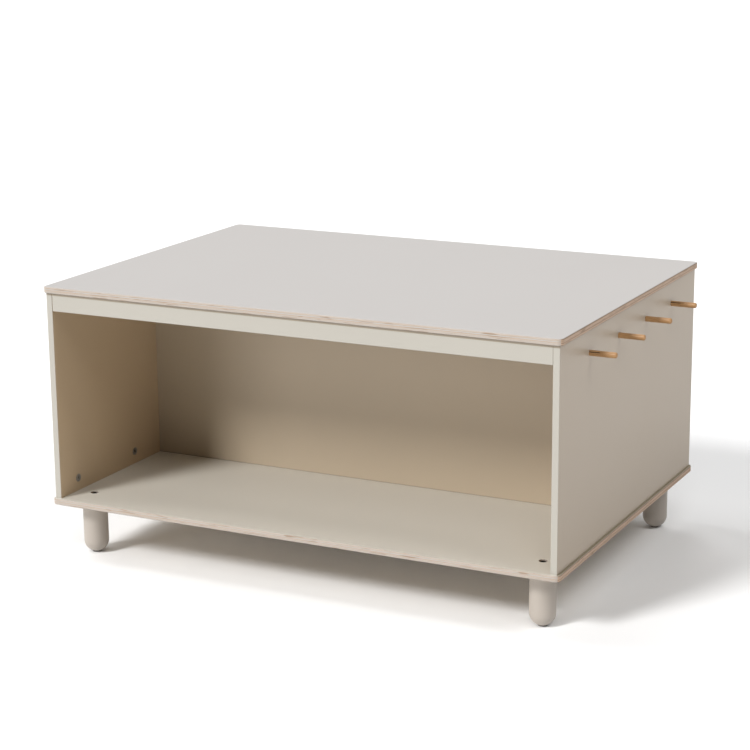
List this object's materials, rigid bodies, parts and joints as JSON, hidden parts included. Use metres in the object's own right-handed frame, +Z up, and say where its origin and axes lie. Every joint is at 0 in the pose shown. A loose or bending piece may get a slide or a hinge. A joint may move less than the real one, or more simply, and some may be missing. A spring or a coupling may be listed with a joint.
{
  "type": "children's play table with storage",
  "caption": "Low rectangular play table with an open storage compartment in the front and one behind it, round painted legs and wooden hanging pegs on its right end.",
  "frame": {"origin": "on the floor, under the middle of the object's whole box, pegs included; the table's own middle is 21.5 mm to the left of it", "axes": "+X to the table's right end, where the pegs are, along its length; +Y to the back; +Z up"},
  "size_m": [1.043, 0.7, 0.512],
  "materials": {
    "board_core": "sanded plywood, clear lacquer",
    "top_laminate": "fine matt",
    "inner_laminate": "fine matt",
    "painted_panel": "satin paint",
    "painted_leg": "satin paint",
    "peg_wood": "sanded, oiled",
    "dowel_wood": "raw beech",
    "zinc": "zinc-plated, dull",
    "black_steel": "black oxide",
    "nylon": "matt"
  },
  "bodies": {
    "root": {"top_plate": "board_core", "top_laminate": "top_laminate", "top_backing_laminate": "inner_laminate", "floor_plate": "board_core", "floor_laminate": "inner_laminate", "floor_backing_laminate": "inner_laminate", "left_side_panel": "painted_panel", "right_side_panel": "painted_panel", "divider": "painted_panel", "front_rail": "painted_panel", "rear_rail": "painted_panel", "leg_front_left": "painted_leg", "leg_front_right": "painted_leg", "leg_rear_left": "painted_leg", "leg_rear_right": "painted_leg", "glide_front_left": "nylon", "glide_front_right": "nylon", "glide_rear_left": "nylon", "glide_rear_right": "nylon", "leg_bolts": "black_steel", "leg_inserts": "zinc", "peg_1": "peg_wood", "peg_2": "peg_wood", "peg_3": "peg_wood", "peg_4": "peg_wood", "left_panel_cams": "zinc", "right_panel_cams": "zinc", "divider_cams": "zinc", "rail_cams": "zinc", "left_panel_cam_bolts": "zinc", "right_panel_cam_bolts": "zinc", "divider_cam_bolts": "zinc", "rail_cam_bolts": "zinc", "left_panel_dowels": "dowel_wood", "right_panel_dowels": "dowel_wood", "divider_dowels": "dowel_wood", "divider_end_dowels": "dowel_wood", "rail_dowels": "dowel_wood"}
  },
  "joints": []
}
